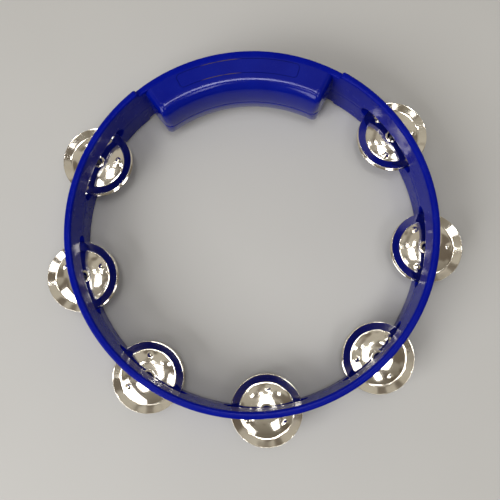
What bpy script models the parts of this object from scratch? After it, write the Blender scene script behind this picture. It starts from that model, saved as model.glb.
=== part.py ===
"""Hand tambourine: a round moulded frame with a hand grip and loose pairs of jingles on pins.

Sizes are in metres. The frame lies flat with its axis along +Z and its grip towards +Y, and the
origin is at the bottom centre of the whole object's box. Angles around the frame are measured from
the middle of the grip, and heights of a half are measured from the middle plane of the frame.
"""

import math

import bmesh
import bpy

# Frame: two mirrored half rings that meet at the middle plane
FRAME_RADIUS = 0.127
FRAME_HEIGHT = 0.050
RIM_WIDTH = 0.005
RIM_FILLET = 0.0016
INNER_SWELL = 0.0011
OUTER_SWELL = 0.0003

# Neck: the plain lower stretch of the frame that carries the grip
NECK_DROP = 0.0035
NECK_SETBACK = 0.0005
NECK_FILLET = 0.0004
NOSE_LENGTH = 0.0020
TAB_LENGTH = 0.0039

# Grip: two hollow half shells on the inner side of the neck
GRIP_LENGTH = 0.1485
GRIP_DEPTH = 0.0234
GRIP_LEAN_INNER = math.radians(29.0)
GRIP_LEAN_END = math.radians(5.0)
GRIP_FILLET = 0.0054
GRIP_CORNER = 0.0042
GRIP_WALL = 0.0025

# Jingles: pressed sheet discs, two to a pin
STATION_COUNT = 7
JINGLE_RADIUS = 0.0248
JINGLE_HEIGHT = 0.0034
JINGLE_SHEET = 0.0007
JINGLE_PLAY = 0.0053
FLANGE_WIDTH = 0.0059
FLANGE_DISH = math.radians(21.0)
LIP_WIDTH = 0.0014
LIP_RISE = 0.0004
BORE_PLAY = 0.0020
BUMP_COUNT = 3
BUMP_CIRCLE = 0.0154
BUMP_RADIUS = 0.0023
BUMP_RISE = 0.0011
JINGLE_TURNS = [math.radians(turn) for turn in (-2, 25, 81, 82, 58, -2, 5)]

# Pins: plain rods set in blind sockets above and below each slot
PIN_RADIUS = 0.0016
PIN_SEAT = 0.0080
PIN_CHAMFER = 0.0004

# Clearances
TOUCH_GAP = 0.0003
SLOT_END_PLAY = 0.0042
CUT_MARGIN = 0.0020

# Facets
SWEEP_STEP = math.radians(5.0)
NOSE_STEPS = 4
SLOT_END_STEPS = 8
JINGLE_SEGMENTS = 24
PIN_SEGMENTS = 12
GRIP_ARC_STEPS = 14
GRIP_CORNER_STEPS = 4
GRIP_SIDE_STEPS = 4
GRIP_FILLET_STEPS = 3

# Sizes that follow from the ones above
HALF_HEIGHT = FRAME_HEIGHT / 2
WALL_INNER = FRAME_RADIUS - RIM_WIDTH - INNER_SWELL
WALL_OUTER = FRAME_RADIUS + OUTER_SWELL
PIN_CIRCLE = (WALL_INNER + WALL_OUTER) / 2
NECK_OUTER = FRAME_RADIUS - NECK_SETBACK
NECK_TOP = HALF_HEIGHT - NECK_DROP
GRIP_INNER = WALL_INNER - TOUCH_GAP - GRIP_DEPTH
GRIP_HALF_ANGLE = GRIP_LENGTH / 2 / FRAME_RADIUS
NECK_HALF_ANGLE = (GRIP_LENGTH / 2 + TAB_LENGTH) / FRAME_RADIUS
BORE_RADIUS = PIN_RADIUS + BORE_PLAY
CROWN_RADIUS = BORE_RADIUS + LIP_WIDTH
VALLEY_RADIUS = JINGLE_RADIUS - FLANGE_WIDTH
SLOT_HEIGHT = 2 * JINGLE_HEIGHT + JINGLE_PLAY + 3 * TOUCH_GAP
SLOT_LENGTH = 2 * (JINGLE_RADIUS + SLOT_END_PLAY)
STATION_PITCH = 2 * math.pi / (STATION_COUNT + 2)
FRONT_REACH = PIN_CIRCLE + JINGLE_RADIUS
RING_Y = (FRONT_REACH - NECK_OUTER) / 2

# Finishes: colour, roughness, metallic
BLUE_PLASTIC = ((0.010, 0.015, 0.200, 1.0), 0.18, 0.0)
NICKEL_PLATE = ((0.80, 0.76, 0.68, 1.0), 0.12, 1.0)
PLAIN_STEEL = ((0.55, 0.55, 0.56, 1.0), 0.30, 1.0)


def clear_scene():
    """Start from an empty scene."""
    for old in list(bpy.data.objects):
        bpy.data.objects.remove(old, do_unlink=True)


def make_material(name, finish):
    """A plain principled material."""
    colour, roughness, metallic = finish
    material = bpy.data.materials.new(name)
    material.use_nodes = True
    shader = material.node_tree.nodes["Principled BSDF"]
    shader.inputs["Base Color"].default_value = colour
    shader.inputs["Roughness"].default_value = roughness
    shader.inputs["Metallic"].default_value = metallic
    return material


def add_object(name, mesh, location, material=None):
    """Link a mesh to the scene as a named object."""
    piece = bpy.data.objects.new(name, mesh)
    piece.location = location
    if material is not None:
        mesh.materials.clear()
        mesh.materials.append(material)
    bpy.context.scene.collection.objects.link(piece)
    return piece


def mesh_from_loops(name, parts, sharp_angle=math.radians(35)):
    """Skin one or more runs of loops; a run is (loops, closed), and an open run gets end caps."""
    shape = bmesh.new()
    for loops, closed in parts:
        rings = [[shape.verts.new(point) for point in loop] for loop in loops]
        pairs = list(zip(rings, rings[1:]))
        if closed:
            pairs.append((rings[-1], rings[0]))
        else:
            shape.faces.new(rings[0])
            shape.faces.new(rings[-1])
        for first, second in pairs:
            for i in range(len(first)):
                j = (i + 1) % len(first)
                shape.faces.new((first[i], first[j], second[j], second[i]))
    bmesh.ops.recalc_face_normals(shape, faces=shape.faces)
    mesh = bpy.data.meshes.new(name)
    shape.to_mesh(mesh)
    shape.free()
    mesh.shade_smooth()
    mesh.set_sharp_from_angle(angle=sharp_angle)
    return mesh


def around(angle, radius, height):
    """A point at an angle from the middle of the grip, about the centre of the frame."""
    return (-radius * math.sin(angle), radius * math.cos(angle), height)


def station_angle(index):
    """Stations are spread evenly about the side opposite the grip."""
    return math.pi + (index - (STATION_COUNT - 1) / 2) * STATION_PITCH


def wall_inner(height):
    """Inner radius of the leaning wall at a height."""
    return WALL_INNER + INNER_SWELL * height / (HALF_HEIGHT - RIM_FILLET)


def wall_section(inner, outer, top, fillet, inner_swell, outer_swell):
    """Half of a wall's section as (radius, height), from the middle plane over the top and back."""
    bend = fillet * (1 - math.sqrt(0.5))
    seam = TOUCH_GAP / 2
    return [
        (inner - inner_swell, seam),
        (inner, top - fillet),
        (inner + bend, top - bend),
        (inner + fillet, top),
        (outer - fillet, top),
        (outer - bend, top - bend),
        (outer, top - fillet),
        (outer + outer_swell, seam),
    ]


def frame_sweep():
    """Pairs of (angle, share of the full ring section) once around the frame."""
    nose = NOSE_LENGTH / FRAME_RADIUS
    rise = [
        (nose * (1 - math.cos(turn)), math.sin(turn))
        for turn in (math.pi / 2 * i / NOSE_STEPS for i in range(1, NOSE_STEPS + 1))
    ]
    neck_steps = round(2 * NECK_HALF_ANGLE / SWEEP_STEP)
    ring_start = NECK_HALF_ANGLE + nose
    ring_span = 2 * math.pi - 2 * ring_start
    ring_steps = round(ring_span / SWEEP_STEP)
    places = [(NECK_HALF_ANGLE * (2 * i / neck_steps - 1), 0.0) for i in range(neck_steps + 1)]
    places += [(NECK_HALF_ANGLE + turn, share) for turn, share in rise]
    places += [(ring_start + ring_span * i / ring_steps, 1.0) for i in range(1, ring_steps)]
    places += [(2 * math.pi - NECK_HALF_ANGLE - turn, share) for turn, share in reversed(rise)]
    return places


def frame_half_mesh(name, side):
    """One half of the frame: the rim and wall, with the neck let into it between two round noses."""
    ring_inner = FRAME_RADIUS - RIM_WIDTH
    ring = wall_section(ring_inner, FRAME_RADIUS, HALF_HEIGHT, RIM_FILLET, INNER_SWELL, OUTER_SWELL)
    neck_inner = wall_inner(NECK_TOP - NECK_FILLET)
    neck_swell = neck_inner - WALL_INNER
    neck = wall_section(neck_inner, NECK_OUTER, NECK_TOP, NECK_FILLET, neck_swell, 0.0)
    loops = []
    for angle, share in frame_sweep():
        section = [
            (r0 + (r1 - r0) * share, h0 + (h1 - h0) * share)
            for (r0, h0), (r1, h1) in zip(neck, ring)
        ]
        loops.append([around(angle, radius, side * height) for radius, height in section])
    return mesh_from_loops(name, [(loops, True)])


def slot_outline():
    """A long slot with round ends as (along the wall, height) points."""
    end = SLOT_HEIGHT / 2
    straight = SLOT_LENGTH / 2 - end
    points = []
    for centre, start in ((straight, -math.pi / 2), (-straight, math.pi / 2)):
        for i in range(SLOT_END_STEPS + 1):
            turn = start + math.pi * i / SLOT_END_STEPS
            points.append((centre + end * math.cos(turn), end * math.sin(turn)))
    return points


def slot_cutter_mesh():
    """Bars with the slot's outline, one through the wall at each station."""
    nearest = math.sqrt(WALL_INNER**2 - (SLOT_LENGTH / 2) ** 2) - CUT_MARGIN
    farthest = WALL_OUTER + CUT_MARGIN
    bars = []
    for index in range(STATION_COUNT):
        turn = station_angle(index)
        loops = []
        for reach in (nearest, farthest):
            loop = []
            for along, height in slot_outline():
                angle = turn + math.atan2(along, reach)
                loop.append(around(angle, math.hypot(along, reach), height))
            loops.append(loop)
        bars.append((loops, False))
    return mesh_from_loops("slot_cutter", bars)


def rod_loops(radius, low, high, chamfer, centre=(0.0, 0.0)):
    """Rings of an upright rod with chamfered ends."""
    rings = [
        (radius - chamfer, low),
        (radius, low + chamfer),
        (radius, high - chamfer),
        (radius - chamfer, high),
    ]
    loops = []
    for ring_radius, height in rings:
        loop = []
        for i in range(PIN_SEGMENTS):
            turn = 2 * math.pi * i / PIN_SEGMENTS
            x = centre[0] + ring_radius * math.cos(turn)
            y = centre[1] + ring_radius * math.sin(turn)
            loop.append((x, y, height))
        loops.append(loop)
    return loops


def socket_cutter_mesh():
    """Rods that cut the blind pin sockets above and below every slot."""
    reach = SLOT_HEIGHT / 2 + PIN_SEAT + TOUCH_GAP
    rods = []
    for index in range(STATION_COUNT):
        x, y, _ = around(station_angle(index), PIN_CIRCLE, 0.0)
        rods.append((rod_loops(PIN_RADIUS + TOUCH_GAP, -reach, reach, PIN_CHAMFER, (x, y)), False))
    return mesh_from_loops("socket_cutter", rods)


def add_cutter(mesh, location):
    """A guide object that only takes part in cuts."""
    cutter = add_object(mesh.name, mesh, location)
    cutter.hide_render = True
    cutter.display_type = "WIRE"
    return cutter


def cut(piece, cutter):
    """Take the cutter's volume out of a piece."""
    step = piece.modifiers.new(cutter.name, "BOOLEAN")
    step.operation = "DIFFERENCE"
    step.solver = "EXACT"
    step.object = cutter


def corner_arc(radius, angle, corner, side):
    """The rounded corner between the grip's inner arc and one of its end planes."""
    centre_radius = radius + corner
    lean = math.asin(corner / centre_radius)
    centre = around(side * (angle - lean), centre_radius, 0.0)
    start = -math.pi / 2
    points = []
    for i in range(GRIP_CORNER_STEPS + 1):
        turn = start + (math.pi / 2 + lean) * i / GRIP_CORNER_STEPS
        outward = corner * math.sin(turn)
        along = corner * math.cos(turn)
        radial = around(side * (angle - lean), 1.0, 0.0)
        tangent = (-side * radial[1], side * radial[0])
        points.append(
            (
                centre[0] + radial[0] * outward + tangent[0] * along,
                centre[1] + radial[1] * outward + tangent[1] * along,
            )
        )
    return points


def grip_outline(inner, outer, half_angle, corner):
    """Plan of the grip: a ring sector with its two inner corners rounded."""
    points = []
    for i in range(GRIP_ARC_STEPS + 1):
        angle = half_angle * (2 * i / GRIP_ARC_STEPS - 1)
        points.append(around(angle, outer, 0.0)[:2])
    points += reversed(corner_arc(inner, half_angle, corner, 1))
    arc_half = half_angle - math.asin(corner / (inner + corner))
    for i in range(1, GRIP_ARC_STEPS):
        angle = arc_half * (1 - 2 * i / GRIP_ARC_STEPS)
        points.append(around(angle, inner, 0.0)[:2])
    points += corner_arc(inner, half_angle, corner, -1)
    return points


def side_inset(height, lean):
    """How far the grip's bulged side has drawn in at a height, for its lean where the fillet starts."""
    fillet_start = NECK_TOP - GRIP_FILLET * (1 - math.sin(lean))
    bulge = fillet_start * math.tan(lean) / 2
    if height <= fillet_start:
        return bulge * (height / fillet_start) ** 2
    rise = min(1.0, 1 - (NECK_TOP - height) / GRIP_FILLET)
    return bulge + GRIP_FILLET * (math.cos(lean) - math.sqrt(1 - rise**2))


def grip_heights():
    """Levels of the grip's side, from the middle plane over the fillet to the flat top."""
    low = TOUCH_GAP / 2
    high = NECK_TOP - GRIP_FILLET * (1 - math.sin(GRIP_LEAN_INNER))
    levels = [low + (high - low) * i / GRIP_SIDE_STEPS for i in range(GRIP_SIDE_STEPS + 1)]
    for i in range(1, GRIP_FILLET_STEPS + 1):
        turn = GRIP_LEAN_INNER + (math.pi / 2 - GRIP_LEAN_INNER) * i / GRIP_FILLET_STEPS
        levels.append(NECK_TOP - GRIP_FILLET * (1 - math.sin(turn)))
    return levels


def grip_loop(height, inset_height, wall):
    """The grip's plan at a height, one wall within its outer form."""
    inner = GRIP_INNER + wall + side_inset(inset_height, GRIP_LEAN_INNER)
    outer = wall_inner(abs(height)) - TOUCH_GAP - wall
    half_angle = GRIP_HALF_ANGLE - (wall + side_inset(inset_height, GRIP_LEAN_END)) / FRAME_RADIUS
    outline = grip_outline(inner, outer, half_angle, GRIP_CORNER - wall)
    return [(x, y, height) for x, y in outline]


def grip_half_mesh(name, side):
    """One half of the grip as a full block, before its hollow is cut."""
    loops = [grip_loop(side * height, height, 0.0) for height in grip_heights()]
    return mesh_from_loops(name, [(loops, False)])


def grip_hollow_mesh():
    """The space inside both grip halves, one wall thickness within their outer form."""
    top = NECK_TOP - GRIP_WALL
    heights = [-top, GRIP_FILLET / 2 - top, -top / 2, top / 2, top - GRIP_FILLET / 2, top]
    loops = [grip_loop(height, abs(height) + GRIP_WALL / 2, GRIP_WALL) for height in heights]
    return mesh_from_loops("grip_hollow", [(loops, False)])


def jingle_profile():
    """Section of a jingle as (radius, height above its lowest line), edge to bore and back.

    The underside, which the other jingle of the pair covers, is plainer than the top.
    """
    crown = JINGLE_HEIGHT - LIP_RISE
    fall = (crown - JINGLE_SHEET) / (VALLEY_RADIUS - CROWN_RADIUS) ** 2
    bump_rings = (BUMP_CIRCLE + BUMP_RADIUS, BUMP_CIRCLE, BUMP_CIRCLE - BUMP_RADIUS)
    dome_rings = (*bump_rings, (bump_rings[-1] + CROWN_RADIUS) / 2, CROWN_RADIUS)
    edge = (JINGLE_RADIUS, JINGLE_SHEET + FLANGE_WIDTH * math.tan(FLANGE_DISH))
    valley = (VALLEY_RADIUS, JINGLE_SHEET)
    dome = [(radius, crown - fall * (radius - CROWN_RADIUS) ** 2) for radius in dome_rings]
    lip = [
        (BORE_RADIUS + LIP_WIDTH / 2, JINGLE_HEIGHT),
        (BORE_RADIUS, JINGLE_HEIGHT - JINGLE_SHEET),
    ]
    above = (dome[len(bump_rings) - 1], valley, edge)
    underside = [(radius, height - JINGLE_SHEET) for radius, height in above]
    return [edge, valley, *dome, *lip, *underside]


def jingle_mesh(name, side, facing, first_bump):
    """A pressed jingle, dome up or down, with a facet corner at an angle and bumps from one corner on."""
    bump_pitch = JINGLE_SEGMENTS // BUMP_COUNT
    loops = []
    for radius, height in jingle_profile():
        loop = []
        for i in range(JINGLE_SEGMENTS):
            turn = facing + 2 * math.pi * i / JINGLE_SEGMENTS
            bumped = radius == BUMP_CIRCLE and (i - first_bump) % bump_pitch == 0
            level = height + BUMP_RISE if bumped else height
            loop.append((radius * math.cos(turn), radius * math.sin(turn), side * level))
        loops.append(loop)
    return mesh_from_loops(name, [(loops, True)])


def build_frame(centre, plastic):
    """Both frame halves with their slots and pin sockets."""
    slots = add_cutter(slot_cutter_mesh(), centre)
    sockets = add_cutter(socket_cutter_mesh(), centre)
    for name, side in (("frame_upper_half", 1), ("frame_lower_half", -1)):
        half = add_object(name, frame_half_mesh(name, side), centre, plastic)
        cut(half, slots)
        cut(half, sockets)


def build_grip(centre, plastic):
    """Both grip halves, hollowed to an even wall."""
    hollow = add_cutter(grip_hollow_mesh(), centre)
    for name, side in (("grip_upper_half", 1), ("grip_lower_half", -1)):
        half = add_object(name, grip_half_mesh(name, side), centre, plastic)
        cut(half, hollow)


def build_station(index, centre, nickel, steel):
    """A pin with its lower jingle resting in the slot and its upper jingle lying on that one."""
    angle = station_angle(index)
    x, y, _ = around(angle, PIN_CIRCLE, 0.0)
    place = (centre[0] + x, centre[1] + y, centre[2])
    label = index + 1
    reach = SLOT_HEIGHT / 2 + PIN_SEAT
    pin_name = f"jingle_pin_{label}"
    pin_mesh = mesh_from_loops(pin_name, [(rod_loops(PIN_RADIUS, -reach, reach, PIN_CHAMFER), False)])
    add_object(pin_name, pin_mesh, place, steel)
    lower_flat = -SLOT_HEIGHT / 2 + TOUCH_GAP + JINGLE_HEIGHT
    facing = angle + math.pi / 2
    facet = 2 * math.pi / JINGLE_SEGMENTS
    upper_turn = JINGLE_TURNS[index]
    lower_turn = upper_turn + math.pi / BUMP_COUNT
    jingles = (
        ("lower", -1, lower_flat, lower_turn),
        ("upper", 1, lower_flat + TOUCH_GAP, upper_turn),
    )
    for word, side, height, turn in jingles:
        name = f"{word}_jingle_{label}"
        spot = (place[0], place[1], place[2] + height)
        mesh = jingle_mesh(name, side, facing, round((turn - facing) / facet))
        add_object(name, mesh, spot, nickel)


def main():
    clear_scene()
    plastic = make_material("blue_plastic", BLUE_PLASTIC)
    nickel = make_material("nickel_plate", NICKEL_PLATE)
    steel = make_material("plain_steel", PLAIN_STEEL)
    centre = (0.0, RING_Y, HALF_HEIGHT)
    build_frame(centre, plastic)
    build_grip(centre, plastic)
    for index in range(STATION_COUNT):
        build_station(index, centre, nickel, steel)


main()
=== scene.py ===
"""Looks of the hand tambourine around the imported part: fine pieces, finishes, floor, light, camera.

Lengths are in metres, in the part's own frame: the ring lies flat with its axis along +Z and its
grip towards +Y. Angles around the ring are measured from the middle of the grip, and heights of a
half are measured from the middle plane of the frame.
"""

import math
from typing import NamedTuple

import bmesh
import bpy
from mathutils import Matrix, Vector


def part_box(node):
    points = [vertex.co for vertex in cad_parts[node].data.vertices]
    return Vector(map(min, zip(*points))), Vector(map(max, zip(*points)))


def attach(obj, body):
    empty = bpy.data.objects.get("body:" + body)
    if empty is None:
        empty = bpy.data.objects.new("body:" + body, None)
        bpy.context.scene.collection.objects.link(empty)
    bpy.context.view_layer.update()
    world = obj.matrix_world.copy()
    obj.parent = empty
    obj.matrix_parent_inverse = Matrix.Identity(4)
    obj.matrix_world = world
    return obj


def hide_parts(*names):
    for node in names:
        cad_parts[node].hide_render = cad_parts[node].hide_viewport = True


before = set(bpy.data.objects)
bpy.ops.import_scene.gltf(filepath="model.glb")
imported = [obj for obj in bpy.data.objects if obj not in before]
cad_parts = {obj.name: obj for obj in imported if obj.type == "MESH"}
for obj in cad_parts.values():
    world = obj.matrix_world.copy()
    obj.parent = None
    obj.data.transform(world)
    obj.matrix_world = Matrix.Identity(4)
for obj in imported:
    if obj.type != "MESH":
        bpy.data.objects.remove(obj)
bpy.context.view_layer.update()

# Frame wall, as in the solids
FRAME_RADIUS = 0.127
RIM_WIDTH = 0.005
RIM_FILLET = 0.0016
INNER_SWELL = 0.0011
OUTER_SWELL = 0.0003
SLOT_HEIGHT = 0.0130
SLOT_LENGTH = 0.0580

# Neck, as in the solids
NECK_DROP = 0.0035
NECK_SETBACK = 0.0005
NOSE_LENGTH = 0.0020
TAB_LENGTH = 0.0039

# Grip, as in the solids, with the depth measured from the frame's wall
GRIP_LENGTH = 0.1485
GRIP_DEPTH = 0.0237
GRIP_LEAN_END = math.radians(5)
GRIP_FILLET_END = 0.0054
GRIP_WALL = 0.0025

# Inner side of the grip, rounder than in the solids, and its corners, which tighten towards the top
GRIP_LEAN_INNER = math.radians(15)
GRIP_FILLET_INNER = 0.0088
GRIP_CORNER = 0.0066
GRIP_TOP_CORNER = 0.0030

# Jingles and pins, as in the solids
STATION_COUNT = 7
JINGLE_RADIUS = 0.0248
JINGLE_HEIGHT = 0.0034
JINGLE_SHEET = 0.0007
VALLEY_RADIUS = 0.0189
FLANGE_DISH = math.radians(21)
BORE_RADIUS = 0.0036
LIP_WIDTH = 0.0014
LIP_RISE = 0.0004
BUMP_COUNT = 3
BUMP_CIRCLE = 0.0154
BUMP_RADIUS = 0.0023
BUMP_RISE = 0.0011
JINGLE_TURNS = [math.radians(turn) for turn in (-2, 25, 81, 82, 58, -2, 5)]
PIN_RADIUS = 0.0016
PIN_SEAT = 0.0080
PIN_CHAMFER = 0.0004

# Fine edges that only the looks have
SEAM_GAP = 0.00004
EDGE_ROUND = 0.0003
NECK_INNER_ROUND = 0.00008
NECK_OUTER_ROUND = 0.0006
TAB_ROUND = 0.0012
GRIP_SEAM_ROUND = 0.0008
CREASE_ROUND = 0.0003
SHEET_ROUND = 0.00012

# Border line pressed into the grip's top, and the stretch of it where dust lies
BORDER_HALF_LENGTH = 0.0434
BORDER_INNER = 0.1104
BORDER_OUTER = 0.1208
BORDER_CORNER = 0.0028
BORDER_WIDTH = 0.0005
BORDER_DEPTH = 0.0002
DUST_START = -0.0220
DUST_END = -0.0020
DUST_FADE = 0.0050

# Fineness of the meshes, and the angle from which an edge is shaded sharp
SHARP_ANGLE = math.radians(38)
PLAIN_STEP = math.radians(1.2)
NOSE_STEPS = 10
SLOT_END_STEPS = 12
SLOT_STRAIGHT_STEPS = 14
ROUND_STEPS = 3
FACE_STEPS = 8
RIM_STEPS = 6
GRIP_ARC_STEPS = 72
GRIP_CORNER_STEPS = 10
GRIP_SIDE_STEPS = 14
GRIP_FILLET_STEPS = 8
JINGLE_SEGMENTS = 160
DOME_RINGS = 48
FLANGE_RINGS = 14
SHEET_ROUND_STEPS = 4
PIN_SEGMENTS = 32
BORDER_STEPS = 60

# Camera, worked out from the photograph
CAMERA_PLACE = (0.00184, -0.06697, 0.46969)
CAMERA_TURN = (0.1451, 0.0213, -0.0828)
CAMERA_LENS = 45.66
CAMERA_NEAR = 0.01


class Pattern(NamedTuple):
    """A noise on a surface: marks per metre, detail, the range of it in use and the range that gives."""

    scale: float
    detail: float
    used: tuple = (0.0, 1.0)
    gives: tuple = (0.0, 1.0)
    stretch: tuple = None


# Plastic: pairs of blues for the clouding, ranges of roughness, and marks
FRAME_BLUES = ((0.0005, 0.004, 0.21), (0.001, 0.006, 0.24))
FRAME_GLOSS = (0.18, 0.32)
FRAME_REFRACTION = 1.15
GRIP_BLUES = ((0.0005, 0.005, 0.20), (0.001, 0.007, 0.22))
GRIP_GLOSS = (0.10, 0.17)
GRIP_REFRACTION = 1.37
SHEEN_TINT = (0.75, 0.75, 1.0, 1.0)
RUBBED_BLUE = (0.012, 0.018, 0.25)
CLOUDING = Pattern(45.0, 3.0, (0.35, 0.65))
RUBBING = Pattern(420.0, 6.0, (0.60, 0.78), (0.0, 0.35))
WEAR = Pattern(160.0, 5.0, (0.35, 0.75))
PEEL = Pattern(260.0, 2.0)
PEEL_STRENGTH = 0.05
PEEL_DEPTH = 0.0004

# Bottom of the border line: a blue darker than the grip's, which is painted shade in the pressed line,
# and brown dust
GROOVE_PAINTED_SHADE_BLUE = (0.0004, 0.004, 0.13)
GROOVE_GLOSS = (0.35, 0.80)
GROOVE_REFRACTION = 1.15
DUST_BROWN = (0.085, 0.060, 0.045)
DUST = Pattern(60.0, 4.0, (0.38, 0.50))

# Nickel and steel; the polishing marks and the drawn lines give the roughness
NICKEL = (0.88, 0.83, 0.73)
NICKEL_STAIN = (0.70, 0.62, 0.49)
NICKEL_SPOT = (0.20, 0.15, 0.10)
STAINS = Pattern(70.0, 5.0, (0.52, 0.75), (0.0, 0.5))
SPOTS = Pattern(520.0, 2.0, (0.73, 0.78), (0.0, 0.8))
POLISH_MARKS = Pattern(90.0, 6.0, (0.3, 0.8), (0.06, 0.13), (1.0, 14.0, 1.0))
MARK_STRENGTH = 0.006
MARK_DEPTH = 0.0003
STEELS = ((0.50, 0.50, 0.51), (0.66, 0.65, 0.63))
DRAWN_LINES = Pattern(900.0, 4.0, (0.3, 0.7), (0.22, 0.38), (1.0, 1.0, 0.05))

# Floor, a little below the part so that no two faces lie in one plane
FLOOR_SIZE = 4.0
FLOOR_DROP = 0.0002
FLOOR_GREYS = ((0.45, 0.445, 0.43), (0.49, 0.485, 0.47))
FLOOR_ROUGHNESS = 0.6
FLOOR_CLOUDS = Pattern(6.0, 3.0)

# Lamps as place, size and radiance; radiance 1 looks white
CEILING_HEIGHT = 2.2
WINDOW = ((-1.40, -1.00, 1.45), (1.45, 1.25), 6.6)
CEILING_LAMP = ((0.0, 0.03, CEILING_HEIGHT), (0.34, 0.48), 15.0)
FRONT_BOX = ((0.34, -1.04, CEILING_HEIGHT), (0.30, 0.60), 7.0)
LEFT_BOX = ((-0.66, -0.46, CEILING_HEIGHT), (0.42, 0.42), 6.0)
RIGHT_BOX = ((0.72, -0.38, CEILING_HEIGHT), (0.42, 0.42), 6.0)

# Row of small ceiling lamps
SPOT_COUNT = 4
SPOT_PITCH = 0.46
SPOT_BACK = 0.44
SPOT_SIZE = (0.09, 0.09)
SPOT_RADIANCE = 24.0

# Room around, by direction: its front and back along Y, and the part of it overhead along Z
ROOM_FRONT = (0.16, 0.14, 0.11)
ROOM_BACK = (0.50, 0.47, 0.41)
ROOM_TURN = (-0.6, 0.5)
OVERHEAD_BROWN = (0.10, 0.075, 0.055)
OVERHEAD_PATCHES = Pattern(3.0, 1.0, (0.47, 0.53), (0.0, 0.8))
OVERHEAD_START = (0.50, 0.65)

# Sizes that follow from the ones above and from the frame
MIDDLE = (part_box("frame_lower_half")[0].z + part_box("frame_upper_half")[1].z) / 2
HALF_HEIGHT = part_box("frame_upper_half")[1].z - MIDDLE
WALL_INNER = FRAME_RADIUS - RIM_WIDTH - INNER_SWELL
WALL_OUTER = FRAME_RADIUS + OUTER_SWELL
PIN_CIRCLE = (WALL_INNER + WALL_OUTER) / 2
NECK_OUTER = FRAME_RADIUS - NECK_SETBACK
NECK_TOP = HALF_HEIGHT - NECK_DROP
GRIP_INNER = WALL_INNER - GRIP_DEPTH
CROWN_RADIUS = BORE_RADIUS + LIP_WIDTH
GRIP_HALF_ANGLE = GRIP_LENGTH / 2 / FRAME_RADIUS
NECK_HALF_ANGLE = (GRIP_LENGTH / 2 + TAB_LENGTH) / FRAME_RADIUS
STATION_PITCH = 2 * math.pi / (STATION_COUNT + 2)
SEAM = SEAM_GAP / 2


def middle_of(node):
    """Centre of a solid's box."""
    low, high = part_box(node)
    return (low + high) / 2


PINS = [middle_of(f"jingle_pin_{i + 1}") for i in range(STATION_COUNT)]
RING_CENTRE = Vector((0.0, PINS[STATION_COUNT // 2].y + PIN_CIRCLE, MIDDLE))


# Helpers
def mix(low, high, share):
    """A value part of the way from low to high."""
    return low + (high - low) * share


def around(angle, radius, height):
    """A point at an angle from the middle of the grip, about the middle of the ring."""
    return RING_CENTRE + Vector((-radius * math.sin(angle), radius * math.cos(angle), height))


def skin(shape, loops, closed):
    """Join loops of points with quads; an open run gets a cap at each end."""
    rings = [[shape.verts.new(point) for point in loop] for loop in loops]
    pairs = list(zip(rings, rings[1:]))
    if closed:
        pairs.append((rings[-1], rings[0]))
    else:
        shape.faces.new(rings[0])
        shape.faces.new(rings[-1])
    for first, second in pairs:
        for i in range(len(first)):
            j = (i + 1) % len(first)
            shape.faces.new((first[i], first[j], second[j], second[i]))


def mesh_from_loops(name, loops, closed):
    """A closed mesh with its faces pointing out."""
    shape = bmesh.new()
    skin(shape, loops, closed)
    bmesh.ops.recalc_face_normals(shape, faces=shape.faces)
    mesh = bpy.data.meshes.new(name)
    shape.to_mesh(mesh)
    shape.free()
    return mesh


def smooth(mesh):
    """Smooth shading that keeps the sharp edges."""
    mesh.shade_smooth()
    mesh.set_sharp_from_angle(angle=SHARP_ANGLE)


def add_object(name, mesh, material):
    """Link a mesh to the scene as a named object."""
    piece = bpy.data.objects.new(name, mesh)
    mesh.materials.append(material)
    bpy.context.scene.collection.objects.link(piece)
    return piece


def cut(piece, cutter):
    """Take the cutter's volume out of a piece and remove the cutter."""
    step = piece.modifiers.new(cutter.name, "BOOLEAN")
    step.operation = "DIFFERENCE"
    step.solver = "EXACT"
    step.material_mode = "TRANSFER"
    step.object = cutter
    graph = bpy.context.evaluated_depsgraph_get()
    result = bpy.data.meshes.new_from_object(piece.evaluated_get(graph))
    piece.modifiers.clear()
    piece.data = result
    bpy.data.objects.remove(cutter)


def stand_for(piece, node, body):
    """The piece takes the place of a solid and moves with its body."""
    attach(piece, body)
    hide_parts(node)


# Frame halves
class Column(NamedTuple):
    """An upright cut through the wall, from its lower edge up to the rim and down again.

    It stands at its angle plus a share, the spread, of the angle that the distance along takes up at
    each radius, so that a slot's sides stay parallel. The lower edge has its own height and leans
    into the wall by (along, up). Fullness goes from 0 for the neck's section to 1 for the ring's.
    """

    angle: float
    along: float
    spread: float
    height: float
    lean: tuple
    fullness: float


def plain_column(angle, spread=0.0, fullness=1.0):
    """A column that reaches down to the seam."""
    along = SLOT_LENGTH / 2 + EDGE_ROUND
    return Column(angle, along, spread, SEAM, (0.0, 1.0), fullness)


def slot_columns(angle):
    """Columns across one slot, which follow its round ends."""
    end = SLOT_HEIGHT / 2
    straight = SLOT_LENGTH / 2 - end
    reach = end + EDGE_ROUND
    first = math.asin(EDGE_ROUND / reach)
    half = [Column(angle, straight + reach, 1.0, SEAM, (1.0, 1.0), 1.0)]
    for i in range(SLOT_END_STEPS + 1):
        turn = first + (math.pi / 2 - first) * i / SLOT_END_STEPS
        lean = (math.cos(turn), math.sin(turn))
        half.append(Column(angle, straight + reach * lean[0], 1.0, end * lean[1], lean, 1.0))
    for i in range(1, SLOT_STRAIGHT_STEPS):
        along = straight * (1 - i / SLOT_STRAIGHT_STEPS)
        half.append(Column(angle, along, 1.0, end, (0.0, 1.0), 1.0))
    mirrored = [
        column._replace(along=-column.along, lean=(-column.lean[0], column.lean[1]))
        for column in half
    ]
    middle = Column(angle, 0.0, 1.0, end, (0.0, 1.0), 1.0)
    return mirrored + [middle] + half[::-1]


def station_angle(index):
    """Stations are spread evenly about the side opposite the grip."""
    return math.pi + (index - (STATION_COUNT - 1) / 2) * STATION_PITCH


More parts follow.
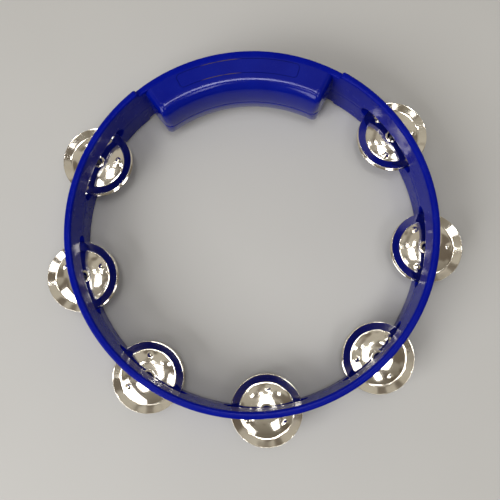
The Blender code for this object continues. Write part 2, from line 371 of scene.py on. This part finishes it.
def between(start, end, start_spread, end_spread):
    """Plain columns strictly between two places."""
    count = max(2, round((end - start) / PLAIN_STEP))
    columns = []
    for i in range(1, count):
        share = i / count
        spread = mix(start_spread, end_spread, share)
        columns.append(plain_column(mix(start, end, share), spread))
    return columns


def frame_columns():
    """All columns once around: neck, first nose, ring with its slots, second nose."""
    nose = NOSE_LENGTH / FRAME_RADIUS
    turns = [math.pi / 2 * i / NOSE_STEPS for i in range(1, NOSE_STEPS + 1)]
    rise = [(nose * (1 - math.cos(turn)), math.sin(turn)) for turn in turns]
    neck_count = round(2 * NECK_HALF_ANGLE / PLAIN_STEP)
    columns = []
    for i in range(neck_count + 1):
        columns.append(plain_column(NECK_HALF_ANGLE * (2 * i / neck_count - 1), fullness=0.0))
    columns += [plain_column(NECK_HALF_ANGLE + turn, fullness=full) for turn, full in rise]
    place = NECK_HALF_ANGLE + nose
    spread = 0.0
    for index in range(STATION_COUNT):
        station = station_angle(index)
        columns += between(place, station, spread, -1.0)
        columns += slot_columns(station)
        place = station
        spread = 1.0
    last = 2 * math.pi - NECK_HALF_ANGLE
    columns += between(place, last - nose, spread, 0.0)
    columns += [plain_column(last - turn, fullness=full) for turn, full in reversed(rise)]
    return columns


def wall_inner(height):
    """Inner radius of the leaning wall at a height."""
    return WALL_INNER + INNER_SWELL * height / (HALF_HEIGHT - RIM_FILLET)


def inner_fillet(column):
    """Round of a column's inner top edge, which nearly goes where the grip's top lies against it."""
    covered = grip_half_angle(NECK_TOP)
    bare = (abs(column.angle) - covered) / (GRIP_HALF_ANGLE - covered)
    neck_round = mix(NECK_INNER_ROUND, TAB_ROUND, min(1.0, max(0.0, bare)))
    return mix(neck_round, RIM_FILLET, column.fullness)


def edge_points(column, start, side):
    """The rounded lower edge of one face, from inside the wall to the face."""
    points = []
    for i in range(ROUND_STEPS):
        turn = math.pi / 2 * i / ROUND_STEPS
        inset = EDGE_ROUND * math.cos(turn)
        radius = start + side * EDGE_ROUND * (1 - math.sin(turn))
        height = column.height + (EDGE_ROUND - inset) * column.lean[1]
        points.append((radius, height, column.along - inset * column.lean[0]))
    return points


def fillet_points(column, start, top, fillet, side):
    """The round between a face and the top."""
    points = []
    for i in range(1, RIM_STEPS + 1):
        turn = math.pi / 2 * i / RIM_STEPS
        radius = start + side * fillet * (1 - math.cos(turn))
        points.append((radius, top - fillet * (1 - math.sin(turn)), column.along))
    return points


def side_points(column, radius_at, top, fillet, side):
    """One side of the wall: lower edge, leaning face and fillet."""
    foot = column.height + EDGE_ROUND * column.lean[1]
    high = top - fillet
    heights = [mix(foot, high, i / FACE_STEPS) for i in range(FACE_STEPS + 1)]
    points = edge_points(column, radius_at(foot), side)
    points += [(radius_at(height), height, column.along) for height in heights]
    return points + fillet_points(column, radius_at(high), top, fillet, side)


def wall_section(column):
    """Points of one column as (radius, height, along), from the lower inner edge over the rim."""
    full = column.fullness
    top = mix(NECK_TOP, HALF_HEIGHT, full)
    outer = mix(NECK_OUTER, FRAME_RADIUS, full)

    def wall_outer(height):
        """Outer radius of the leaning wall at a height."""
        return outer + OUTER_SWELL * full * (1 - height / HALF_HEIGHT)

    inside = side_points(column, wall_inner, top, inner_fillet(column), 1)
    outside = side_points(column, wall_outer, top, mix(NECK_OUTER_ROUND, RIM_FILLET, full), -1)
    return inside + outside[::-1]


def frame_half_mesh(name, side):
    """One half of the frame with its rim, neck and half slots."""
    loops = []
    for column in frame_columns():
        loop = []
        for radius, height, along in wall_section(column):
            angle = column.angle + column.spread * math.asin(along / radius)
            loop.append(around(angle, radius, side * height))
        loops.append(loop)
    return mesh_from_loops(name, loops, True)


def build_frame(plastic):
    """Both frame halves."""
    for name, side in (("frame_upper_half", 1), ("frame_lower_half", -1)):
        piece = add_object(f"fine_{name}", frame_half_mesh(name, side), plastic)
        smooth(piece.data)
        stand_for(piece, name, "frame")


# Grip halves
def corner_arc(radius, angle, corner, side):
    """The rounded corner between the grip's inner arc and one of its end planes."""
    lean = math.asin(corner / (radius + corner))
    radial = around(side * (angle - lean), 1.0, 0.0) - RING_CENTRE
    tangent = Vector((-side * radial.y, side * radial.x, 0.0))
    centre = RING_CENTRE + radial * (radius + corner)
    points = []
    for i in range(GRIP_CORNER_STEPS + 1):
        turn = (math.pi / 2 + lean) * i / GRIP_CORNER_STEPS - math.pi / 2
        points.append(centre + radial * corner * math.sin(turn) + tangent * corner * math.cos(turn))
    return points


def grip_outline(inner, outer, half_angle, corner):
    """Plan of the grip: a ring sector with its two inner corners rounded."""
    steps = GRIP_ARC_STEPS
    points = [around(half_angle * (2 * i / steps - 1), outer, 0.0) for i in range(steps + 1)]
    points += reversed(corner_arc(inner, half_angle, corner, 1))
    arc_half = half_angle - math.asin(corner / (inner + corner))
    points += [around(arc_half * (1 - 2 * i / steps), inner, 0.0) for i in range(1, steps)]
    points += corner_arc(inner, half_angle, corner, -1)
    return points


def side_inset(height, lean, fillet):
    """How far a side of the grip lies inside its widest line, with its lean where the fillet starts."""
    start = NECK_TOP - fillet * (1 - math.sin(lean))
    bulge = start * math.tan(lean) / 2
    if height <= start:
        return bulge * (height / start) ** 2
    rise = min(1.0, (height - NECK_TOP + fillet) / fillet)
    return bulge + fillet * (math.cos(lean) - math.sqrt(1 - rise**2))


def grip_half_angle(height):
    """Half of the angle that the grip takes up at a height."""
    return GRIP_HALF_ANGLE - side_inset(height, GRIP_LEAN_END, GRIP_FILLET_END) / FRAME_RADIUS


def grip_levels():
    """Heights of the grip's side with an extra inset: round seam edge, bulged side, fillet, top."""
    fillet_centre = NECK_TOP - GRIP_FILLET_INNER
    low = SEAM + GRIP_SEAM_ROUND
    high = NECK_TOP - GRIP_FILLET_INNER * (1 - math.sin(GRIP_LEAN_INNER))
    levels = []
    for i in range(ROUND_STEPS):
        turn = math.pi / 2 * i / ROUND_STEPS
        drop = GRIP_SEAM_ROUND * math.cos(turn)
        levels.append((low - drop, GRIP_SEAM_ROUND * (1 - math.sin(turn))))
    levels += [(mix(low, high, i / GRIP_SIDE_STEPS), 0.0) for i in range(GRIP_SIDE_STEPS + 1)]
    for i in range(1, GRIP_FILLET_STEPS + 1):
        turn = mix(GRIP_LEAN_INNER, math.pi / 2, i / GRIP_FILLET_STEPS)
        levels.append((fillet_centre + GRIP_FILLET_INNER * math.sin(turn), 0.0))
    levels.append((NECK_TOP, EDGE_ROUND))
    return levels


def grip_loop(height, side, extra):
    """The grip's plan at a height, drawn in by an extra amount."""
    inner = GRIP_INNER + side_inset(height, GRIP_LEAN_INNER, GRIP_FILLET_INNER) + extra
    outer = wall_inner(height) - SEAM_GAP - max(0.0, extra - GRIP_SEAM_ROUND)
    angle = grip_half_angle(height) - extra / FRAME_RADIUS
    corner = mix(GRIP_CORNER, GRIP_TOP_CORNER, height / NECK_TOP)
    outline = grip_outline(inner, outer, angle, corner)
    return [point + Vector((0.0, 0.0, side * height)) for point in outline]


def grip_half_mesh(name, side):
    """One hollow half of the grip, from its inner roof down to the seam and up over its outside."""
    hollow_top = NECK_TOP - GRIP_WALL
    loops = [grip_loop(height, side, GRIP_WALL) for height in (hollow_top, hollow_top / 2, SEAM)]
    loops += [grip_loop(height, side, extra) for height, extra in grip_levels()]
    return mesh_from_loops(name, loops, False)


def border_path():
    """Middle line of the border as (angle, radius), a long curved oblong with round corners."""
    middle = (BORDER_INNER + BORDER_OUTER) / 2
    half_width = (BORDER_OUTER - BORDER_INNER) / 2 - BORDER_CORNER
    half_length = BORDER_HALF_LENGTH - BORDER_CORNER
    corners = [
        (half_length, half_width, 0.0),
        (-half_length, half_width, math.pi / 2),
        (-half_length, -half_width, math.pi),
        (half_length, -half_width, 3 * math.pi / 2),
    ]
    points = []
    for along, across, start in corners:
        for j in range(GRIP_CORNER_STEPS + 1):
            turn = start + math.pi / 2 * j / GRIP_CORNER_STEPS
            bend = (BORDER_CORNER * math.cos(turn), BORDER_CORNER * math.sin(turn))
            points.append((along + bend[0], across + bend[1]))
        # The two long sides bend with the ring, so they take points between their corners
        if start in (0.0, math.pi):
            for j in range(1, BORDER_STEPS):
                way = math.cos(start) * (1 - 2 * j / BORDER_STEPS)
                points.append((half_length * way, across + BORDER_CORNER * math.cos(start)))
    return [(along / middle, middle + across) for along, across in points]


def border_cutter(material):
    """A thin four-sided bar along the border, half sunk in the grip's top."""
    path = border_path()
    top = NECK_TOP
    loops = []
    for i, (angle, radius) in enumerate(path):
        here = around(angle, radius, top)
        step = around(*path[(i + 1) % len(path)], top) - around(*path[i - 1], top)
        across = Vector((step.y, -step.x, 0.0)).normalized() * BORDER_WIDTH / 2
        depth = Vector((0.0, 0.0, BORDER_DEPTH))
        loops.append([here + across, here - depth, here - across, here + depth])
    return add_object("border_cutter", mesh_from_loops("border_cutter", loops, True), material)


def build_grip(plastic, groove):
    """Both grip halves, the upper one with a border line in its top."""
    for name, side in (("grip_upper_half", 1), ("grip_lower_half", -1)):
        piece = add_object(f"fine_{name}", grip_half_mesh(name, side), plastic)
        if side > 0:
            cut(piece, border_cutter(groove))
        smooth(piece.data)
        stand_for(piece, name, "frame")


# Jingles and pins
def soft_max(first, second, round_off):
    """The larger of two values, with the change from one to the other rounded off."""
    return (first + second + math.hypot(first - second, round_off)) / 2


def sheet_height(radius):
    """Top of the pressed sheet: a low dome in a dished flange, with a lip at the bore."""
    crown = JINGLE_HEIGHT - LIP_RISE
    way = max(0.0, radius - CROWN_RADIUS) / (VALLEY_RADIUS - CROWN_RADIUS)
    lip = min(1.0, abs(radius - BORE_RADIUS - LIP_WIDTH / 2) / (LIP_WIDTH / 2))
    dome = mix(crown, JINGLE_SHEET, way**2) + LIP_RISE * math.cos(lip * math.pi / 2) ** 2
    flange = JINGLE_SHEET + math.tan(FLANGE_DISH) * (radius - VALLEY_RADIUS)
    return soft_max(dome, flange, CREASE_ROUND)


def sheet_line():
    """Top line of the sheet as (radius, height), from the bore to the start of its cut edge."""
    end = JINGLE_RADIUS - SHEET_ROUND - (JINGLE_SHEET - SHEET_ROUND) * math.sin(FLANGE_DISH)
    radii = [mix(BORE_RADIUS, VALLEY_RADIUS, i / DOME_RINGS) for i in range(DOME_RINGS)]
    radii += [mix(VALLEY_RADIUS, end, i / FLANGE_RINGS) for i in range(FLANGE_RINGS + 1)]
    return [(radius, sheet_height(radius)) for radius in radii]


def cut_edge(line):
    """The sheet's cut edge, square to the flange, with its two corners rounded."""
    end = Vector(line[-1])
    out = Vector((math.cos(FLANGE_DISH), math.sin(FLANGE_DISH)))
    up = Vector((-out.y, out.x))
    corners = (
        (end - up * SHEET_ROUND, math.pi / 2),
        (end - up * (JINGLE_SHEET - SHEET_ROUND), 0.0),
    )
    points = []
    for centre, start in corners:
        for i in range(SHEET_ROUND_STEPS + 1):
            turn = start - math.pi / 2 * i / SHEET_ROUND_STEPS
            points.append(centre + SHEET_ROUND * (out * math.cos(turn) + up * math.sin(turn)))
    return [(point.x, point.y) for point in points[1:-1]]


def under_side(line):
    """The same line one sheet thickness below, square to it."""
    below = []
    for i, (radius, height) in enumerate(line):
        before = line[max(0, i - 1)]
        after = line[min(len(line) - 1, i + 1)]
        run = Vector((after[0] - before[0], after[1] - before[1])).normalized()
        below.append((radius + run.y * JINGLE_SHEET, height - run.x * JINGLE_SHEET))
    return below


def bump_height(x, y):
    """Height that the small pressed bumps add at a place on the dome."""
    total = 0.0
    for i in range(BUMP_COUNT):
        turn = 2 * math.pi * i / BUMP_COUNT
        away = math.hypot(x - BUMP_CIRCLE * math.cos(turn), y - BUMP_CIRCLE * math.sin(turn))
        total += BUMP_RISE * max(0.0, 1 - (away / BUMP_RADIUS) ** 2) ** 2
    return total


def jingle_mesh():
    """One pressed jingle about its own axis, dome up, with its valley on the plane z = 0."""
    line = sheet_line()
    loops = []
    for radius, height in line + cut_edge(line) + under_side(line)[::-1]:
        loop = []
        for i in range(JINGLE_SEGMENTS):
            turn = 2 * math.pi * i / JINGLE_SEGMENTS
            x = radius * math.cos(turn)
            y = radius * math.sin(turn)
            loop.append((x, y, height + bump_height(x, y)))
        loops.append(loop)
    return mesh_from_loops("jingle", loops, True)


def build_jingles(nickel):
    """Every jingle from one pressing, the upper ones dome up and the lower ones dome down."""
    pressing = jingle_mesh()
    pressing.materials.append(nickel)
    smooth(pressing)
    flip = Matrix.Rotation(math.pi, 4, "X")
    half_pitch = Matrix.Rotation(math.pi / BUMP_COUNT, 4, "Z")
    for i, turn in enumerate(JINGLE_TURNS):
        pin = PINS[i]
        upper_low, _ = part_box(f"upper_jingle_{i + 1}")
        _, lower_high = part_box(f"lower_jingle_{i + 1}")
        spin = Matrix.Rotation(turn, 4, "Z")
        placed = (
            ("upper", Matrix.Translation((pin.x, pin.y, upper_low.z)) @ spin),
            ("lower", Matrix.Translation((pin.x, pin.y, lower_high.z)) @ spin @ half_pitch @ flip),
        )
        for word, place in placed:
            node = f"{word}_jingle_{i + 1}"
            mesh = pressing.copy()
            mesh.transform(place)
            piece = bpy.data.objects.new(f"fine_{node}", mesh)
            bpy.context.scene.collection.objects.link(piece)
            stand_for(piece, node, node)
    bpy.data.meshes.remove(pressing)


def pin_loops(centre):
    """Rings of one upright pin with chamfered ends."""
    reach = SLOT_HEIGHT / 2 + PIN_SEAT
    rings = (
        (PIN_RADIUS - PIN_CHAMFER, -reach),
        (PIN_RADIUS, PIN_CHAMFER - reach),
        (PIN_RADIUS, reach - PIN_CHAMFER),
        (PIN_RADIUS - PIN_CHAMFER, reach),
    )
    turns = [2 * math.pi * i / PIN_SEGMENTS for i in range(PIN_SEGMENTS)]
    loops = []
    for radius, height in rings:
        spokes = [Vector((radius * math.cos(turn), radius * math.sin(turn), height)) for turn in turns]
        loops.append([centre + spoke for spoke in spokes])
    return loops


def build_pins(steel):
    """A round steel pin through every pair of jingles."""
    for i, pin in enumerate(PINS):
        node = f"jingle_pin_{i + 1}"
        piece = add_object(f"fine_{node}", mesh_from_loops(node, pin_loops(pin), False), steel)
        smooth(piece.data)
        stand_for(piece, node, "frame")


# Finishes
def start_material(name):
    """A new material with its principled shader and object coordinates."""
    material = bpy.data.materials.new(name)
    material.use_nodes = True
    tree = material.node_tree
    shader = tree.nodes["Principled BSDF"]
    place = tree.nodes.new("ShaderNodeTexCoord").outputs["Object"]
    return material, tree, shader, place


def noise(tree, place, pattern):
    """A pattern's plain noise over the surface, stretched along an axis if the pattern says so."""
    if pattern.stretch is not None:
        mapping = tree.nodes.new("ShaderNodeMapping")
        mapping.inputs["Scale"].default_value = pattern.stretch
        tree.links.new(place, mapping.inputs["Vector"])
        place = mapping.outputs["Vector"]
    node = tree.nodes.new("ShaderNodeTexNoise")
    node.inputs["Scale"].default_value = pattern.scale
    node.inputs["Detail"].default_value = pattern.detail
    tree.links.new(place, node.inputs["Vector"])
    return node.outputs["Fac"]


def remap(tree, value, source, target=(0.0, 1.0)):
    """Stretch a value from one range to another, without going outside."""
    node = tree.nodes.new("ShaderNodeMapRange")
    for name, limit in zip(("From Min", "From Max", "To Min", "To Max"), source + target):
        node.inputs[name].default_value = limit
    tree.links.new(value, node.inputs["Value"])
    return node.outputs["Result"]


def marks(tree, place, pattern):
    """What a pattern gives over the surface."""
    return remap(tree, noise(tree, place, pattern), pattern.used, pattern.gives)


def colour_mix(tree, share, first, second):
    """Go from one colour to another; each is a fixed colour or a socket."""
    node = tree.nodes.new("ShaderNodeMix")
    node.data_type = "RGBA"
    tree.links.new(share, node.inputs["Factor"])
    for name, colour in (("A", first), ("B", second)):
        socket = [s for s in node.inputs if s.name == name and s.type == "RGBA"][0]
        if isinstance(colour, bpy.types.NodeSocket):
            tree.links.new(colour, socket)
        else:
            socket.default_value = (*colour, 1.0)
    return [s for s in node.outputs if s.type == "RGBA"][0]


def bump(tree, shader, height, strength, distance):
    """Press a height pattern into the surface."""
    node = tree.nodes.new("ShaderNodeBump")
    node.inputs["Strength"].default_value = strength
    node.inputs["Distance"].default_value = distance
    tree.links.new(height, node.inputs["Height"])
    tree.links.new(node.outputs["Normal"], shader.inputs["Normal"])


def blue_plastic(name, blues, gloss, refraction):
    """Glossy moulded plastic with faint clouding, rubbed spots and a little orange peel."""
    material, tree, shader, place = start_material(name)
    clouded = colour_mix(tree, marks(tree, place, CLOUDING), *blues)
    scuffed = colour_mix(tree, marks(tree, place, RUBBING), clouded, RUBBED_BLUE)
    tree.links.new(scuffed, shader.inputs["Base Color"])
    worn = remap(tree, noise(tree, place, WEAR), WEAR.used, gloss)
    tree.links.new(worn, shader.inputs["Roughness"])
    shader.inputs["IOR"].default_value = refraction
    shader.inputs["Specular Tint"].default_value = SHEEN_TINT
    bump(tree, shader, noise(tree, place, PEEL), PEEL_STRENGTH, PEEL_DEPTH)
    return material


def groove_dust_and_painted_shade():
    """Bottom of the border line in a darker blue, painted shade in the pressed line, with brown dust
    lying left of its middle.
    """
    material, tree, shader, place = start_material("groove_dust_and_painted_shade")
    split = tree.nodes.new("ShaderNodeSeparateXYZ")
    tree.links.new(place, split.inputs["Vector"])
    started = remap(tree, split.outputs["X"], (DUST_START - DUST_FADE, DUST_START))
    not_ended = remap(tree, split.outputs["X"], (DUST_END, DUST_END + DUST_FADE), (1.0, 0.0))
    dust = marks(tree, place, DUST)
    # Painted shade: the groove's plain blue is darker than the grip's, standing in for shade in the
    # pressed line; the dust's brown is its own colour
    dusty = colour_mix(tree, dust, GROOVE_PAINTED_SHADE_BLUE, DUST_BROWN)
    left_faded = colour_mix(tree, started, GROOVE_PAINTED_SHADE_BLUE, dusty)
    both_faded = colour_mix(tree, not_ended, GROOVE_PAINTED_SHADE_BLUE, left_faded)
    tree.links.new(both_faded, shader.inputs["Base Color"])
    dull = remap(tree, dust, (0.0, 1.0), GROOVE_GLOSS)
    tree.links.new(dull, shader.inputs["Roughness"])
    shader.inputs["IOR"].default_value = GROOVE_REFRACTION
    return material


def nickel_plate():
    """Bright warm nickel with fine polishing marks, a few stains and dull spots."""
    material, tree, shader, place = start_material("nickel_plate")
    plate = colour_mix(tree, marks(tree, place, STAINS), NICKEL, NICKEL_STAIN)
    spotted = colour_mix(tree, marks(tree, place, SPOTS), plate, NICKEL_SPOT)
    tree.links.new(spotted, shader.inputs["Base Color"])
    polish = noise(tree, place, POLISH_MARKS)
    rough = remap(tree, polish, POLISH_MARKS.used, POLISH_MARKS.gives)
    tree.links.new(rough, shader.inputs["Roughness"])
    shader.inputs["Metallic"].default_value = 1.0
    bump(tree, shader, polish, MARK_STRENGTH, MARK_DEPTH)
    return material


def pin_steel():
    """Plain drawn steel with fine lines along the pin."""
    material, tree, shader, place = start_material("pin_steel")
    lines = noise(tree, place, DRAWN_LINES)
    tree.links.new(colour_mix(tree, lines, *STEELS), shader.inputs["Base Color"])
    rough = remap(tree, lines, DRAWN_LINES.used, DRAWN_LINES.gives)
    tree.links.new(rough, shader.inputs["Roughness"])
    shader.inputs["Metallic"].default_value = 1.0
    return material


def floor_grey():
    """Plain pale grey with a barely visible unevenness."""
    material, tree, shader, place = start_material("floor_grey")
    cloud = noise(tree, place, FLOOR_CLOUDS)
    tree.links.new(colour_mix(tree, cloud, *FLOOR_GREYS), shader.inputs["Base Color"])
    shader.inputs["Roughness"].default_value = FLOOR_ROUGHNESS
    return material


# Floor, light and camera
def build_floor():
    """A plain pale floor under the object."""
    bpy.ops.mesh.primitive_plane_add(size=FLOOR_SIZE, location=(0.0, 0.0, -FLOOR_DROP))
    floor = bpy.context.object
    floor.name = "floor"
    floor.data.materials.append(floor_grey())


def area_light(name, place, size, radiance):
    """A rectangular lamp that faces the middle of the ring."""
    data = bpy.data.lights.new(name, "AREA")
    data.shape = "RECTANGLE"
    data.size, data.size_y = size
    data.energy = radiance * math.pi * size[0] * size[1]
    lamp = bpy.data.objects.new(name, data)
    lamp.location = place
    lamp.rotation_euler = (RING_CENTRE - Vector(place)).to_track_quat("-Z", "Y").to_euler()
    bpy.context.scene.collection.objects.link(lamp)


def build_lamps():
    """A window at the left front, ceiling lamps and soft boxes."""
    area_light("front_left_window", *WINDOW)
    area_light("ceiling_lamp", *CEILING_LAMP)
    for i in range(SPOT_COUNT):
        place = (SPOT_PITCH * (i - (SPOT_COUNT - 1) / 2), SPOT_BACK, CEILING_HEIGHT)
        area_light(f"ceiling_spot_{i + 1}", place, SPOT_SIZE, SPOT_RADIANCE)
    area_light("front_box", *FRONT_BOX)
    area_light("left_box", *LEFT_BOX)
    area_light("right_box", *RIGHT_BOX)


def build_room():
    """A plain room, darker at the front, with brown patches overhead for the jingles to mirror."""
    world = bpy.data.worlds.new("room")
    world.use_nodes = True
    tree = world.node_tree
    direction = tree.nodes.new("ShaderNodeTexCoord").outputs["Generated"]
    split = tree.nodes.new("ShaderNodeSeparateXYZ")
    tree.links.new(direction, split.inputs["Vector"])
    back = remap(tree, split.outputs["Y"], ROOM_TURN)
    plain = colour_mix(tree, back, ROOM_FRONT, ROOM_BACK)
    patched = colour_mix(tree, marks(tree, direction, OVERHEAD_PATCHES), plain, OVERHEAD_BROWN)
    overhead = remap(tree, split.outputs["Z"], OVERHEAD_START)
    room = colour_mix(tree, overhead, plain, patched)
    tree.links.new(room, tree.nodes["Background"].inputs["Color"])
    bpy.context.scene.world = world


def build_camera():
    """The photograph's point of view."""
    data = bpy.data.cameras.new("camera")
    data.lens = CAMERA_LENS
    data.clip_start = CAMERA_NEAR
    camera = bpy.data.objects.new("camera", data)
    camera.location = CAMERA_PLACE
    camera.rotation_euler = CAMERA_TURN
    bpy.context.scene.collection.objects.link(camera)
    bpy.context.scene.camera = camera


frame_blue = blue_plastic("blue_plastic", FRAME_BLUES, FRAME_GLOSS, FRAME_REFRACTION)
grip_blue = blue_plastic("grip_plastic", GRIP_BLUES, GRIP_GLOSS, GRIP_REFRACTION)
build_frame(frame_blue)
build_grip(grip_blue, groove_dust_and_painted_shade())
build_jingles(nickel_plate())
build_pins(pin_steel())
build_floor()
build_lamps()
build_room()
build_camera()

bpy.context.scene.view_settings.view_transform = "Standard"
